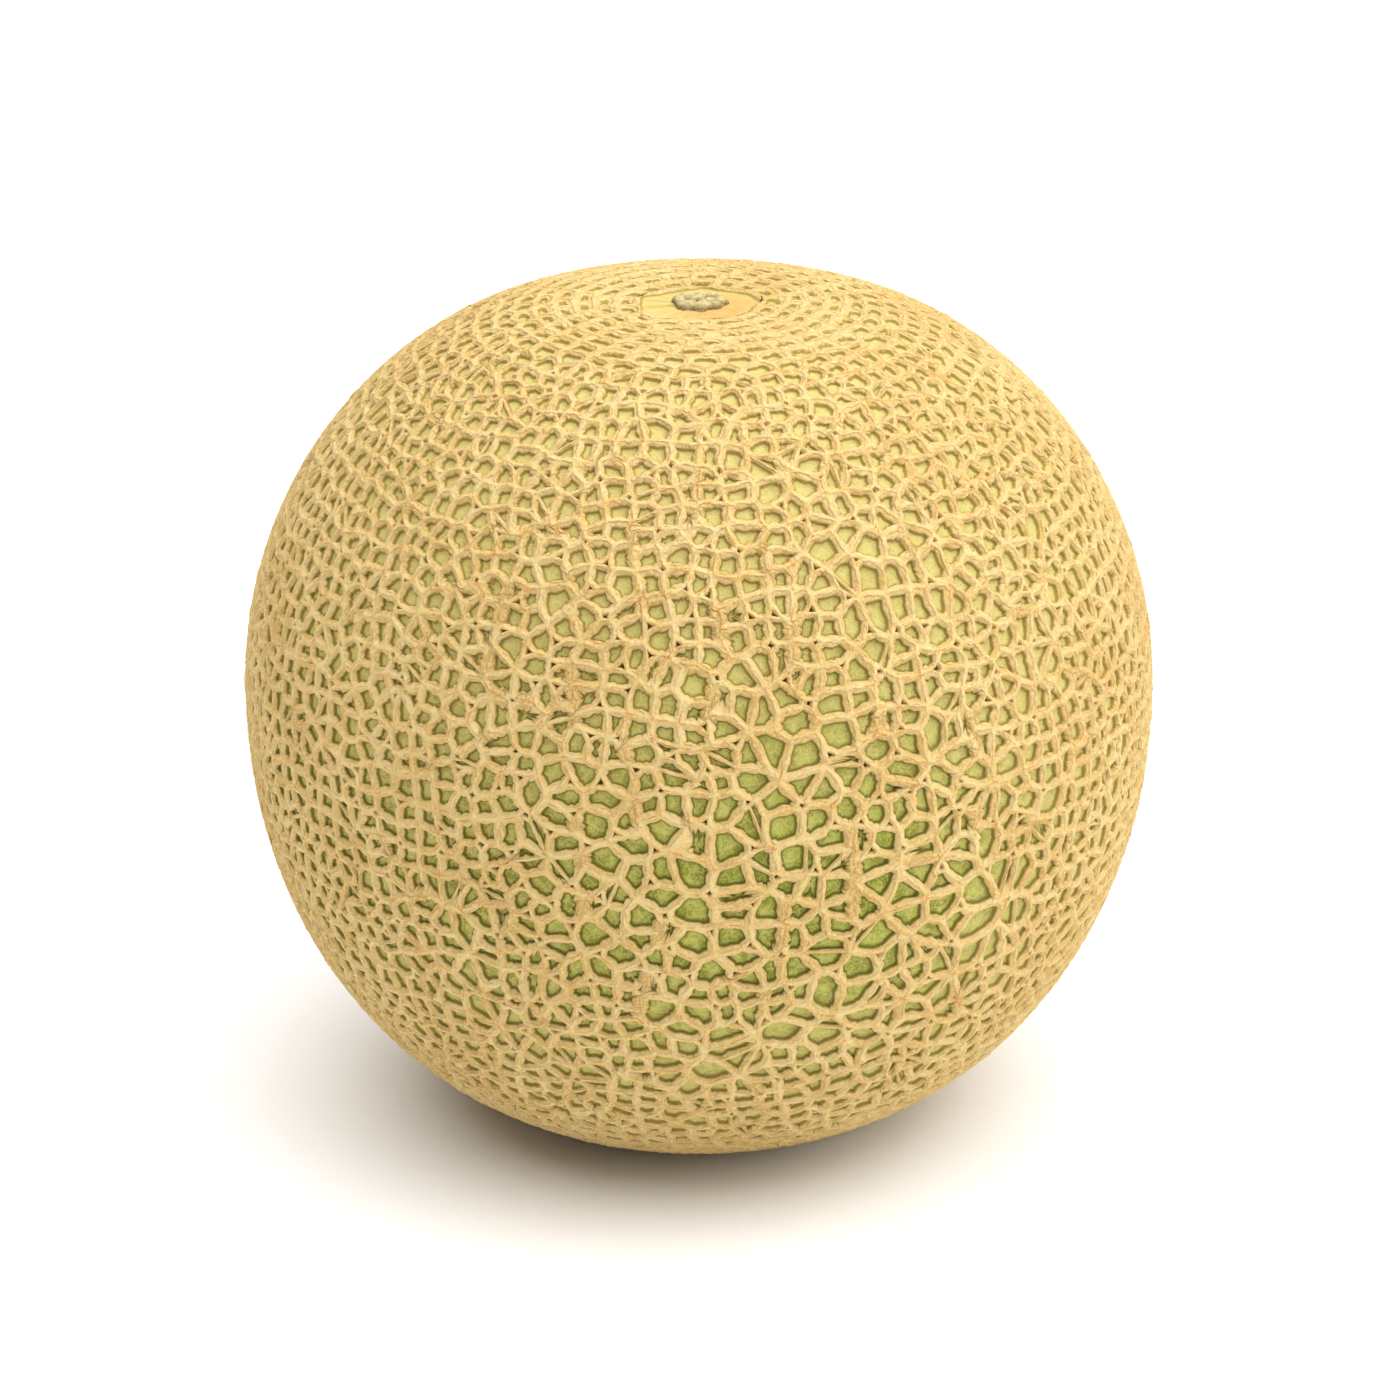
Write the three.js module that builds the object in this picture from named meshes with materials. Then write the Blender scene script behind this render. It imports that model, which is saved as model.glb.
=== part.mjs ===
import * as THREE from "three";
import { ConvexHull } from "three/addons/math/ConvexHull.js";

// Netted cantaloupe melon. Millimetres, +Z up, origin at the centre of the spot it rests on.

// Outline of the fruit over the crests of its net, measured from the widest level.
const EQUATOR_RADIUS = 80;
const EQUATOR_LEVEL = 77.2;
const CROWN_HEIGHT = 76.4;
const CROWN_ROUNDNESS = 2.05;
const CROWN_SINK = 6.8;
const CROWN_SINK_RADIUS = 30.4;
const BASE_DEPTH = 84.4;
const BASE_ROUNDNESS = 2.11;
const BASE_SINK = 7;
const BASE_SINK_RADIUS = 31;

// Raised net: cells between the strands, in rings from the stem end to the blossom end.
const CELL_WIDTH = 12;
const CELL_HEIGHT = 11.3;
const CELL_SCATTER = 0.62;
const EVEN_RINGS = 4;
const COLUMN_STEP = 4;
const RING_TURN = 0.11;
const SHORTEST_STRAND = 4;
const STRAND_HALF_WIDTH = 1.8;
const WALL_WIDTH = 0.5;
const LEAST_SIDE = 0.4;
const NET_RELIEF = 1.4;
const RELIEF_SPREAD = 0.22;
const MERIDIAN_STEPS = 900;

// Smooth disc round the stem end, and the flat spot at the blossom end.
const DISC_RADIUS = 12.6;
const FIRST_RING = 17.6;
const DISC_SINK = 0.8;
const FLAT_RADIUS = 14;
const LAST_RING = 19;

// Corky scar that the stem left on the disc: a lumpy ring round a hollow.
const SCAR_HEIGHT = 1.8;
const SCAR_LUMPS = 7;
const SCAR_RINGS = [9.5, 7.3, 5.6, 4.9, 4.2, 3.3, 2.3, 1.3];
const SCAR_RISE = [0, 0, 0, 0.35, 0.9, 1, 0.62, 0.36];
const SCAR_HOLLOW = 0.3;

const RIND_COLOUR = "#d9bf86";
const RIND_ROUGHNESS = 0.72;

const MIDDLE = new THREE.Vector3(0, 0, EQUATOR_LEVEL);

// Repeatable scatter value from -0.5 to 0.5 for a whole number and a lane.
function scatter(index, lane) {
  const wave = Math.sin(index * 12.9898 + lane * 78.233) * 43758.5453;
  return wave - Math.floor(wave) - 0.5;
}

// Point of the outline in a direction from the middle of the widest level.
function outlinePoint(direction) {
  const across = Math.hypot(direction.x, direction.y);
  const upper = direction.z > 0;
  const reach = upper ? CROWN_HEIGHT : BASE_DEPTH;
  const power = upper ? CROWN_ROUNDNESS : BASE_ROUNDNESS;
  const sum = (across / EQUATOR_RADIUS) ** power + (Math.abs(direction.z) / reach) ** power;
  const point = direction.clone().multiplyScalar(sum ** (-1 / power));
  const radius = Math.hypot(point.x, point.y);
  if (upper) {
    point.z -= CROWN_SINK * Math.exp(-((radius / CROWN_SINK_RADIUS) ** 2));
  } else {
    point.z += BASE_SINK * Math.exp(-((radius / BASE_SINK_RADIUS) ** 2));
  }
  point.z = Math.max(0, point.z + EQUATOR_LEVEL);
  return point;
}

function directionAt(polar, azimuth) {
  return new THREE.Vector3(
    Math.sin(polar) * Math.cos(azimuth),
    Math.sin(polar) * Math.sin(azimuth),
    Math.cos(polar),
  );
}

// Polar angle of the outline point at a distance along the surface from the stem end.
function meridian() {
  const table = [{ run: 0, polar: 0 }];
  let last = outlinePoint(directionAt(0, 0));
  for (let i = 1; i <= MERIDIAN_STEPS; i++) {
    const polar = (i / MERIDIAN_STEPS) * Math.PI;
    const point = outlinePoint(directionAt(polar, 0));
    table.push({ run: table[i - 1].run + point.distanceTo(last), polar });
    last = point;
  }
  const polarAt = (run) => {
    const above = table.findIndex((row) => row.run >= run);
    const low = table[above - 1];
    const high = table[above];
    const share = (run - low.run) / (high.run - low.run);
    return low.polar + share * (high.polar - low.polar);
  };
  return { length: table[MERIDIAN_STEPS].run, polarAt };
}

// A seed at each end, lifted a little so that its cell reaches the given radius, and rings of
// seeds between them. Rings of one count stand in columns, so strands run on up the fruit.
function netSeeds() {
  const { length, polarAt } = meridian();
  const span = length - FIRST_RING - LAST_RING;
  const rings = Math.round(span / CELL_HEIGHT);
  const lift = (edge, ring) => Math.cos(ring - edge) / Math.cos(edge);
  const stemLift = lift(polarAt(DISC_RADIUS), polarAt(FIRST_RING));
  const seeds = [directionAt(0, 0).multiplyScalar(stemLift)];
  for (let ring = 0; ring <= rings; ring++) {
    const polar = polarAt(FIRST_RING + (ring / rings) * span);
    const girth = 2 * Math.PI * outlinePoint(directionAt(polar, 0)).x;
    const count = COLUMN_STEP * Math.round(girth / CELL_WIDTH / COLUMN_STEP);
    const loose = Math.min(1, ring / EVEN_RINGS, (rings - ring) / EVEN_RINGS);
    for (let column = 0; column < count; column++) {
      const tag = 1000 * ring + column;
      const aside = CELL_SCATTER * scatter(tag, 1) + RING_TURN * ring;
      const azimuth = ((column + aside) / count) * 2 * Math.PI;
      const slip = (loose * CELL_SCATTER * scatter(tag, 2) * CELL_HEIGHT) / EQUATOR_RADIUS;
      seeds.push(directionAt(polar + slip, azimuth));
    }
  }
  const flatEdge = Math.PI - polarAt(length - FLAT_RADIUS);
  const flatRing = Math.PI - polarAt(length - LAST_RING);
  seeds.push(directionAt(Math.PI, 0).multiplyScalar(lift(flatEdge, flatRing)));
  return seeds;
}

// Corners and cells of the net: each hull facet over the seeds gives a corner.
function netCells(seeds) {
  const hull = new ConvexHull().setFromPoints(seeds);
  const corners = hull.faces.map((face) => face.normal.clone().normalize());
  const around = new Map(seeds.map((seed) => [seed, []]));
  hull.faces.forEach((face, index) => {
    let edge = face.edge;
    do {
      around.get(edge.head().point).push(index);
      edge = edge.next;
    } while (edge !== face.edge);
  });
  const cells = seeds.map((seed) => turnOrder(seed, around.get(seed), corners));
  return mergeShortStrands(cells, corners);
}

// Corner numbers in turning order round a seed, seen from outside.
function turnOrder(seed, list, corners) {
  const out = seed.clone().normalize();
  const helper = Math.abs(out.z) > 0.9 ? new THREE.Vector3(1, 0, 0) : new THREE.Vector3(0, 0, 1);
  const east = new THREE.Vector3().crossVectors(helper, out).normalize();
  const north = new THREE.Vector3().crossVectors(out, east);
  const angle = (index) => Math.atan2(corners[index].dot(north), corners[index].dot(east));
  return list.slice().sort((a, b) => angle(a) - angle(b));
}

// Two corners joined by a very short strand become one crossing.
function mergeShortStrands(cells, corners) {
  const leader = corners.map((_, index) => index);
  const find = (index) => (leader[index] === index ? index : find(leader[index]));
  const points = corners.map(outlinePoint);
  for (const cell of cells) {
    cell.forEach((index, i) => {
      const next = cell[(i + 1) % cell.length];
      const near = points[index].distanceTo(points[next]) < SHORTEST_STRAND;
      if (near && find(index) !== find(next)) {
        leader[find(next)] = find(index);
      }
    });
  }
  const sums = corners.map(() => new THREE.Vector3());
  corners.forEach((corner, index) => sums[find(index)].add(corner));
  const crests = sums.map((sum) => outlinePoint(sum.normalize()));
  const loops = cells.map((cell) =>
    cell.map(find).filter((index, i, list) => index !== list[(i + 1) % list.length]),
  );
  return { crests, loops };
}

// Height of the disc and the stem scar over the level of the net's crests.
function discRise(ring, azimuth) {
  const lumps = 0.74 + 0.2 * Math.cos(SCAR_LUMPS * azimuth + 1.4 * Math.sin(2 * azimuth));
  const grain = 0.22 * scatter(Math.round(azimuth * 40) + 97 * ring, 5);
  return -DISC_SINK + SCAR_HEIGHT * SCAR_RISE[ring] * (lumps + grain);
}

const vertices = [];
const triangles = [];

function addVertex(point) {
  vertices.push(point.x, point.y, point.z);
  return vertices.length / 3 - 1;
}

// Fan over a loop of vertices in turning order.
function addFan(loop) {
  for (let i = 1; i + 1 < loop.length; i++) {
    triangles.push(loop[0], loop[i], loop[i + 1]);
  }
}

// Strip between two loops of vertices with the same count, the first one outside.
function addBand(outer, inner) {
  outer.forEach((index, i) => {
    const next = (i + 1) % outer.length;
    triangles.push(index, outer[next], inner[next]);
    triangles.push(index, inner[next], inner[i]);
  });
}

// Flat frame of a cell: its middle, outward direction and two directions across it.
function cellFrame(loop, crests) {
  const middle = new THREE.Vector3();
  loop.forEach((index) => middle.addScaledVector(crests[index], 1 / loop.length));
  const out = middle.clone().sub(MIDDLE).normalize();
  const helper = Math.abs(out.z) > 0.9 ? new THREE.Vector3(1, 0, 0) : new THREE.Vector3(0, 0, 1);
  const east = new THREE.Vector3().crossVectors(helper, out).normalize();
  const north = new THREE.Vector3().crossVectors(out, east);
  const corners = loop.map((index) => {
    const arm = crests[index].clone().sub(middle);
    return new THREE.Vector2(arm.dot(east), arm.dot(north));
  });
  return { middle, out, east, north, corners };
}

// Corners of a flat cell moved in by one distance from every side.
function insetCorners(corners, distance) {
  const count = corners.length;
  const sides = corners.map((corner, i) => {
    const along = corners[(i + 1) % count].clone().sub(corner).normalize();
    const inward = new THREE.Vector2(-along.y, along.x);
    return { along, start: corner.clone().addScaledVector(inward, distance) };
  });
  const moved = sides.map((side, i) => {
    const before = sides[(i + count - 1) % count];
    const turn = before.along.cross(side.along);
    const gap = side.start.clone().sub(before.start);
    return before.start.clone().addScaledVector(before.along, gap.cross(side.along) / turn);
  });
  const kept = sides.every((side, i) => {
    return moved[(i + 1) % count].clone().sub(moved[i]).dot(side.along) > LEAST_SIDE;
  });
  const reach = sides.reduce((sum, side) => sum + side.start.cross(side.along) / count, 0);
  const share = Math.max(0.3, 1 - distance / (reach + distance));
  return kept ? moved : corners.map((corner) => corner.clone().multiplyScalar(share));
}

// Loop of vertices inside a cell, at a distance from its strands' lines and below their crests.
function addInset(frame, distance, depth) {
  return insetCorners(frame.corners, distance).map((corner) => {
    const point = frame.middle.clone();
    point.addScaledVector(frame.east, corner.x).addScaledVector(frame.north, corner.y);
    const crest = outlinePoint(point.sub(MIDDLE).normalize());
    return addVertex(crest.addScaledVector(frame.out, -depth));
  });
}

// Tops of the strands: a strip along each strand and a small face at each crossing.
function addStrandTops(loops, edges) {
  const cellAt = new Map();
  loops.forEach((loop, cell) => {
    loop.forEach((index, i) => {
      cellAt.set(`${index} ${loop[(i + 1) % loop.length]}`, { cell, i });
    });
  });
  const corner = ({ cell, i }, step) => edges[cell][(i + step) % loops[cell].length];
  const done = new Set();
  loops.forEach((loop, cell) => {
    loop.forEach((index, i) => {
      const next = loop[(i + 1) % loop.length];
      const across = cellAt.get(`${next} ${index}`);
      if (index < next) {
        const here = { cell, i };
        addFan([corner(here, 0), corner(across, 1), corner(across, 0), corner(here, 1)]);
      }
      if (!done.has(index)) {
        done.add(index);
        const crossing = [];
        let at = { cell, i };
        do {
          crossing.push(corner(at, 0));
          const before = (at.i + loops[at.cell].length - 1) % loops[at.cell].length;
          at = cellAt.get(`${index} ${loops[at.cell][before]}`);
        } while (at.cell !== cell);
        addFan(crossing);
      }
    });
  });
}

// Cell of the net: walls from the strands' edges down to a sunk floor.
function addCell(frame, edge, number) {
  const depth = NET_RELIEF * (1 + RELIEF_SPREAD * scatter(number, 3));
  const floor = addInset(frame, STRAND_HALF_WIDTH + WALL_WIDTH, depth);
  addBand(edge, floor);
  addFan(floor);
}

// Smooth disc and scar: rings of twice as many vertices as the disc's edge has corners.
function addStemEnd(edge) {
  const turns = edge.map((index) => Math.atan2(vertices[3 * index + 1], vertices[3 * index]));
  const azimuths = [];
  turns.forEach((turn, i) => {
    const next = turns[(i + 1) % turns.length];
    const step = (next - turn + 4 * Math.PI) % (2 * Math.PI);
    azimuths.push(turn, turn + step / 2);
  });
  const crown = outlinePoint(directionAt(0, 0)).z;
  const rings = SCAR_RINGS.map((radius, ring) =>
    azimuths.map((azimuth) => {
      const wander = ring < 2 ? 1 : 1 + 0.08 * Math.sin(3 * azimuth + ring);
      const x = radius * wander * Math.cos(azimuth);
      const y = radius * wander * Math.sin(azimuth);
      return addVertex(new THREE.Vector3(x, y, crown + discRise(ring, azimuth)));
    }),
  );
  edge.forEach((outer, i) => {
    const after = edge[(i + 1) % edge.length];
    const inner = [0, 1, 2].map((step) => rings[0][(2 * i + step) % rings[0].length]);
    triangles.push(outer, inner[1], inner[0]);
    triangles.push(outer, after, inner[1]);
    triangles.push(after, inner[2], inner[1]);
  });
  for (let ring = 0; ring + 1 < rings.length; ring++) {
    addBand(rings[ring], rings[ring + 1]);
  }
  const last = rings[rings.length - 1];
  const hollow = crown - DISC_SINK + SCAR_HEIGHT * SCAR_HOLLOW;
  const top = addVertex(new THREE.Vector3(0, 0, hollow));
  last.forEach((index, i) => triangles.push(index, last[(i + 1) % last.length], top));
}

// The flat spot is one face at the level of the crests, round a middle vertex.
function addFlatSpot(edge) {
  const middle = addVertex(new THREE.Vector3(0, 0, 0));
  edge.forEach((index, i) => triangles.push(index, edge[(i + 1) % edge.length], middle));
}

function melonGeometry() {
  const { crests, loops } = netCells(netSeeds());
  const frames = loops.map((loop) => cellFrame(loop, crests));
  const edges = frames.map((frame) => addInset(frame, STRAND_HALF_WIDTH, 0));
  addStrandTops(loops, edges);
  loops.forEach((loop, number) => {
    if (number === 0) {
      addStemEnd(edges[number]);
    } else if (number === loops.length - 1) {
      addFlatSpot(edges[number]);
    } else {
      addCell(frames[number], edges[number], number);
    }
  });
  const geometry = new THREE.BufferGeometry();
  geometry.setAttribute("position", new THREE.Float32BufferAttribute(vertices, 3));
  geometry.setIndex(triangles);
  geometry.computeVertexNormals();
  return geometry;
}

const rind = new THREE.MeshStandardMaterial({
  color: RIND_COLOUR,
  roughness: RIND_ROUGHNESS,
  metalness: 0,
  flatShading: true,
});
const melon = new THREE.Mesh(melonGeometry(), rind);
melon.name = "melon";

const model = new THREE.Group();
model.name = "cantaloupe_melon";
model.add(melon);

export default model;
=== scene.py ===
import math

import bpy
import numpy as np
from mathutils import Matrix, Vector, noise
from mathutils.geometry import delaunay_2d_cdt


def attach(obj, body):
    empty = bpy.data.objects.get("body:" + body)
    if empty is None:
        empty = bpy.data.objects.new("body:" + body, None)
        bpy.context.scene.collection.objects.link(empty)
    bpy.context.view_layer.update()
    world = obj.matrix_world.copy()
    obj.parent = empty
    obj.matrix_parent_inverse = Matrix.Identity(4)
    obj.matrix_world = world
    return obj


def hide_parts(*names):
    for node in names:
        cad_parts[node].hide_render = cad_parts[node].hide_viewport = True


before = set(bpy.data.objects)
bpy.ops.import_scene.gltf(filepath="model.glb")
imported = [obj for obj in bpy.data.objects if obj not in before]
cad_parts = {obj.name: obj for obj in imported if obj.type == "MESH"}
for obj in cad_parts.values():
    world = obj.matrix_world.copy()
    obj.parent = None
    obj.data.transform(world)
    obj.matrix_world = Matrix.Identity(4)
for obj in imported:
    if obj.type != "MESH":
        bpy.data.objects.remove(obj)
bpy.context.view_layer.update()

# Lengths are in millimetres until a mesh is made.
MM = 0.001


def srgb(red, green, blue):
    """Linear colour of an sRGB one in steps of 255."""
    values = np.array([red, green, blue]) / 255
    low, high = values / 12.92, ((values + 0.055) / 1.055) ** 2.4
    return (*np.where(values < 0.04045, low, high).tolist(), 1.0)


# Outline of the fruit over the crests of its net, as in the solid.
EQUATOR_RADIUS = 80.0
EQUATOR_LEVEL = 77.2
CROWN_HEIGHT = 76.4
CROWN_ROUNDNESS = 2.05
CROWN_SINK = 6.8
CROWN_SINK_RADIUS = 30.4
BASE_DEPTH = 84.4
BASE_ROUNDNESS = 2.11
BASE_SINK = 7.0
BASE_SINK_RADIUS = 31.0
MIDDLE = np.array([0.0, 0.0, EQUATOR_LEVEL])
MERIDIAN_STEPS = 900
BATCH = 1000

# Wide net of the solid, whose lines the thick strands follow.
WIDE_CELL = (12.0, 11.3)
WIDE_SCATTER = 0.62
WIDE_FIRST_RING = 17.6
WIDE_LAST_RING = 19.0
WIDE_EVEN_RINGS = 4
COLUMN_STEP = 4
RING_TURN = 0.11
WIDE_SHORTEST = 4.0

# Fine net: looser in the open green part, in clean rings round the stem end.
FINE_CELL = (4.0, 3.9)
FINE_SCATTER = 0.6
FINE_EVEN_RINGS = 4
FINE_SHORTEST = 0.95
DISC_RADIUS = 10.8
FLAT_RADIUS = 12.0
RIM_GAP = 1.9
CROWN_RINGS = 7
CROWN_STEP = 3.5
CROWN_CELL = 5.4
DISC_CELLS = 16
FLAT_CELLS = 26
CROWN_FADE = (24.0, 36.0)
RINGS_END = 32.0
RING_LEVEL = 0.3
OPEN_SHARE = 0.36
OPEN_TOWARDS = (0.2, -1.0, -0.06)
OPEN_REACH = (0.21, 0.91)
CLEAR_OF_LINE = 1.5
SNAP_TO_LINE = 1.15
SNAP_TO_RING = 1.72
CLEAR_OF_RIB = 7.0
CLEAR_OF_STEM = 34.0
CLEAR_OF_BASE = WIDE_LAST_RING + 4
ON_LINE = 0.2
GAP_CHANCE = 0.62
GAP_REACH = 1.15
GAP_REACH_SHARE = 0.56
SPLIT_CHANCE = 0.22
SPLIT_ROOM = 1.9
SPLIT_CORNERS = 6

# Long thick ribs on the front: degrees round to the right from the front, and heights.
RIBS = (
    ((2.4, 116.7), (3.0, 112.4), (1.7, 104.0), (0.2, 95.5), (-1.0, 84.9), (-2.9, 74.4),
     (-4.6, 65.0), (-7.1, 51.8), (-8.4, 42.0)),
    ((-16.5, 112.0), (-15.0, 100.1), (-14.9, 91.4), (-14.4, 82.6), (-13.3, 74.3), (-13.8, 62.0)),
    ((12.1, 114.5), (11.8, 109.4), (11.9, 99.6)),
    ((9.3, 91.0), (10.4, 85.2), (10.0, 77.0), (10.0, 67.9), (9.6, 56.0)),
    ((17.6, 84.0), (18.3, 73.5), (18.1, 62.0)),
    ((22.7, 106.2), (22.8, 101.9), (20.8, 94.0)),
    ((-10.2, 98.6), (-8.6, 96.0), (-8.1, 90.8), (-7.0, 84.2)),
    ((-5.6, 108.9), (-1.2, 108.7), (2.2, 109.2)),
    ((-31.0, 103.0), (-24.0, 101.5), (-17.0, 102.0)),
    ((-26.5, 118.0), (-27.0, 108.0), (-27.5, 100.0)),
    ((36.0, 112.0), (34.5, 100.0), (35.0, 86.0), (34.0, 74.0)),
)

# Strands: half widths by kind, crest heights and the half section from crest to floor.
SAMPLE = 1.0
RIB_HALF = 1.4
WIDE_HALF = 1.14
RING_HALF = 1.22
THIN_HALF = (0.78, 1.0)
FORK_HALF = 0.6
WISP_HALF = 0.42
GAP_HALF = 0.42
SECTION = ((0.38, -0.04), (0.74, -0.24), (0.96, -0.72), (1.13, -1.2))
GAP_SECTION = ((0.4, -0.04), (0.8, -0.35), (1.1, -1.4))
FLOOR_RISE = 0.22
# How far across the floor of a gap counts, which puts it in the painted shade.
GAP_SHADED_ACROSS = 1.15
GROOVE_DEPTH = 0.2
CROSSING_DIP = 0.14
RING_DROP = 0.04
THIN_DROP = 0.12
WISP_DROP = 0.42
SPINDLE = (0.84, 0.26)
SWELL = 0.09
BOW = 0.22
CORNER_SHARPNESS = 8.0
THREAD = 1.0

# Relief round the stem end as a share of the rest, and the distances over which it grows.
CROWN_DEPTH = 0.8
CROWN_DEPTH_FADE = (30.0, 84.0)

# Tight cells: the share of their room that strands take, the depth by that share, the share
# under which the floor stays cork, and the room under which a cell is closed over.
TIGHTEST = 0.76
DEPTH_BY_ROOM = (0.1, 1.1)
SLIVER = 0.4
SLIVER_ROOM = 0.42

# How far across a strand, from 0 on its crest to 1 at its foot, a closed cell and a floor count.
SLIVER_ACROSS = 0.4
FLOOR_ACROSS = 2.4

# Limits that keep the bands of a tight cell apart, and how much of a strand's bow they keep.
LEAST_REACH = 0.1
LEAST_TURN = 0.12
LEAST_SPACE = 0.06
LEAST_ROOM = 0.15
LEAST_RADIUS = 0.08
NEXT_RADIUS = 0.94
BOW_KEPT = 0.25

# Smooth disc at the stem end and flat spot at the blossom end: radius, rise and how far
# across the rim strand, for rings inwards from the rim.
# On the disc, the rings just inside the rim strand's foot take the painted shade of a floor's rim.
DISC_RINGS = (
    (10.45, -0.05, 0.4),
    (10.15, -0.22, 0.76),
    (9.9, -0.64, 1.02),
    (9.3, -0.74, 1.4),
    (7.6, -0.66, 2.2),
    (6.0, -0.6, 2.6),
    (4.2, -0.56, 2.6),
    (2.0, -0.55, 2.6),
)
DISC_WAVES = ((1, math.pi, 0.1), (2, 0.6, 0.05), (5, 0.0, 0.045), (9, 1.3, 0.026), (14, 0.4, 0.018))
DISC_WAVE_REACH = 8.0
DISC_COLOUR_INSET = 1.1
BLUSH_TURN = 0.7
BLUSH_RADIUS = 5.0
FLAT_RINGS = ((11.2, 0.0, 0.5), (9.5, 0.0, 0.6), (7.5, 0.0, 0.7), (5.0, 0.0, 0.7), (2.5, 0.0, 0.7))

# Scar of the stem: rings of corky beads as count, distance out, size and height.
SCAR_RADIUS = 4.8
SCAR_HEIGHT = 1.32
SCAR_STEPS = (44, 110)
SCAR_FOOT = -0.9
SCAR_RINGS = ((9, 3.45, 1.5, 1.0), (5, 1.8, 1.15, 0.9))

# Colours.
CORK_WARM = srgb(197, 158, 90)
CORK_PALE = srgb(212, 183, 117)
CORK_LIGHT = srgb(226, 203, 147)
CRACK = srgb(194, 140, 68)
GREEN_DEEP = srgb(124, 130, 28)
GREEN_PALE = srgb(164, 168, 70)
OLIVE_DEEP = srgb(144, 134, 52)
OLIVE_PALE = srgb(180, 168, 88)
FLOOR_PALE = srgb(200, 184, 108)
# Painted shade: dark olive that the floor takes towards the foot of each strand and in the gaps.
PAINTED_SHADE_GREEN = srgb(94, 90, 4)
PAINTED_SHADE_OLIVE = srgb(114, 102, 22)
PAINTED_SHADE_PALE = srgb(160, 134, 58)
SPECK = srgb(98, 100, 34)
WISP = srgb(206, 190, 124)
DISC_GREEN = srgb(176, 166, 82)
DISC_PALE = srgb(214, 184, 118)
DISC_PEACH = srgb(224, 158, 90)
# Painted shade in the scar's hollows.
SCAR_SHADE = srgb(102, 88, 42)
SCAR_DARK = srgb(158, 144, 94)
SCAR_PALE = srgb(196, 180, 126)
SCAR_LIGHT = srgb(216, 200, 148)

# Paler floors towards both ends and on the right flank: partly the rind's own tan, partly painted
# light on the lit right flank and low down.
PALE_SHARE = 0.85
PALE_CLIMB = 48.0
PALE_LOW = 60.0
PAINTED_LIGHT_SIDE = 35.0

# Pieces that the surface is made in, each round one direction.
PATCHES = (
    ("melon_front", (0, -1, 0)),
    ("melon_right", (1, 0, 0)),
    ("melon_back", (0, 1, 0)),
    ("melon_left", (-1, 0, 0)),
    ("melon_crown", (0, 0, 1)),
    ("melon_base", (0, 0, -1)),
)
PATCH_MAP = 0.55
PATCH_DEPTH = 4.0
PATCH_APEX = 36.0
BACK_MAP = ((0.016, 0.016, 0.004), (0.014, 0.002, 0.002), (0.02, 0.02, 0.032))

# Studio: suns as direction towards them, strength and width in degrees.
WORLD_LIGHT = 0.25
SUNS = (
    ("top", (0.0, 0.0, 1.0), 3.9, 90.0),
    ("right", (1.0, -0.2, 0.7), 1.9, 60.0),
)
CAMERA_ELEVATION = 22.0
CAMERA_DISTANCE = 0.72
CAMERA_SENSOR = 36.0
CAMERA_LENS = 104.6
PHOTO_SIZE = 1400
PHOTO_MIDDLE = (698.9, 680.0)


def scatter(index, lane):
    """Repeatable values from -0.5 to 0.5 for whole numbers and a lane."""
    wave = np.sin(np.asarray(index, float) * 12.9898 + lane * 78.233) * 43758.5453
    return wave - np.floor(wave) - 0.5


def sink(radius, upper):
    """How far the dimple of the stem end or of the blossom end shifts the outline up."""
    crown = -CROWN_SINK * np.exp(-((radius / CROWN_SINK_RADIUS) ** 2))
    base = BASE_SINK * np.exp(-((radius / BASE_SINK_RADIUS) ** 2))
    return np.where(upper, crown, base)


def outline(polar):
    """Radius and height of the outline at polar angles from the stem end."""
    across, along = np.sin(polar), np.cos(polar)
    upper = along > 0
    reach = np.where(upper, CROWN_HEIGHT, BASE_DEPTH)
    power = np.where(upper, CROWN_ROUNDNESS, BASE_ROUNDNESS)
    total = (np.abs(across) / EQUATOR_RADIUS) ** power + (np.abs(along) / reach) ** power
    radius, height = total ** (-1 / power) * across, total ** (-1 / power) * along
    return radius, np.maximum(0.0, height + sink(radius, upper) + EQUATOR_LEVEL)


def pairs_of(loop):
    """Each member of a loop with the one after it."""
    return zip(loop, loop[1:] + loop[:1])


def unit(vectors):
    return vectors / np.linalg.norm(vectors, axis=-1, keepdims=True)


def towards(points):
    """Directions in which the surface holds the points, so with both dimples undone."""
    away = points - MIDDLE
    away[..., 2] -= sink(np.hypot(away[..., 0], away[..., 1]), away[..., 2] > 0)
    return unit(away)


def polar_of(directions):
    return np.arctan2(np.hypot(directions[:, 0], directions[:, 1]), directions[:, 2])


def surface(directions, rise):
    """Points at a height over the outline, in directions from the middle of the fruit."""
    polar = polar_of(directions)
    azimuth = np.arctan2(directions[:, 1], directions[:, 0])
    radius, height = outline(polar)
    radius_after, height_after = outline(polar + 0.001)
    radius_before, height_before = outline(polar - 0.001)
    slope = unit(np.stack([height_before - height_after, radius_after - radius_before], 1))
    radius = radius + rise * slope[:, 0]
    height = height + rise * slope[:, 1]
    return np.stack([radius * np.cos(azimuth), radius * np.sin(azimuth), height], 1)


def direction_at(polar, azimuth):
    polar, azimuth = np.broadcast_arrays(polar, azimuth)
    flat = np.sin(polar)
    return np.stack([flat * np.cos(azimuth), flat * np.sin(azimuth), np.cos(polar)], -1)


def meridian():
    """Polar angles along the meridian and the distance of each from the stem end."""
    polar = np.linspace(0, math.pi, MERIDIAN_STEPS + 1)
    radius, height = outline(polar)
    steps = np.hypot(np.diff(radius), np.diff(height))
    return np.concatenate([[0], np.cumsum(steps)]), polar


RUN, POLAR = meridian()


def polar_at(run):
    return float(np.interp(run, RUN, POLAR))


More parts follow.
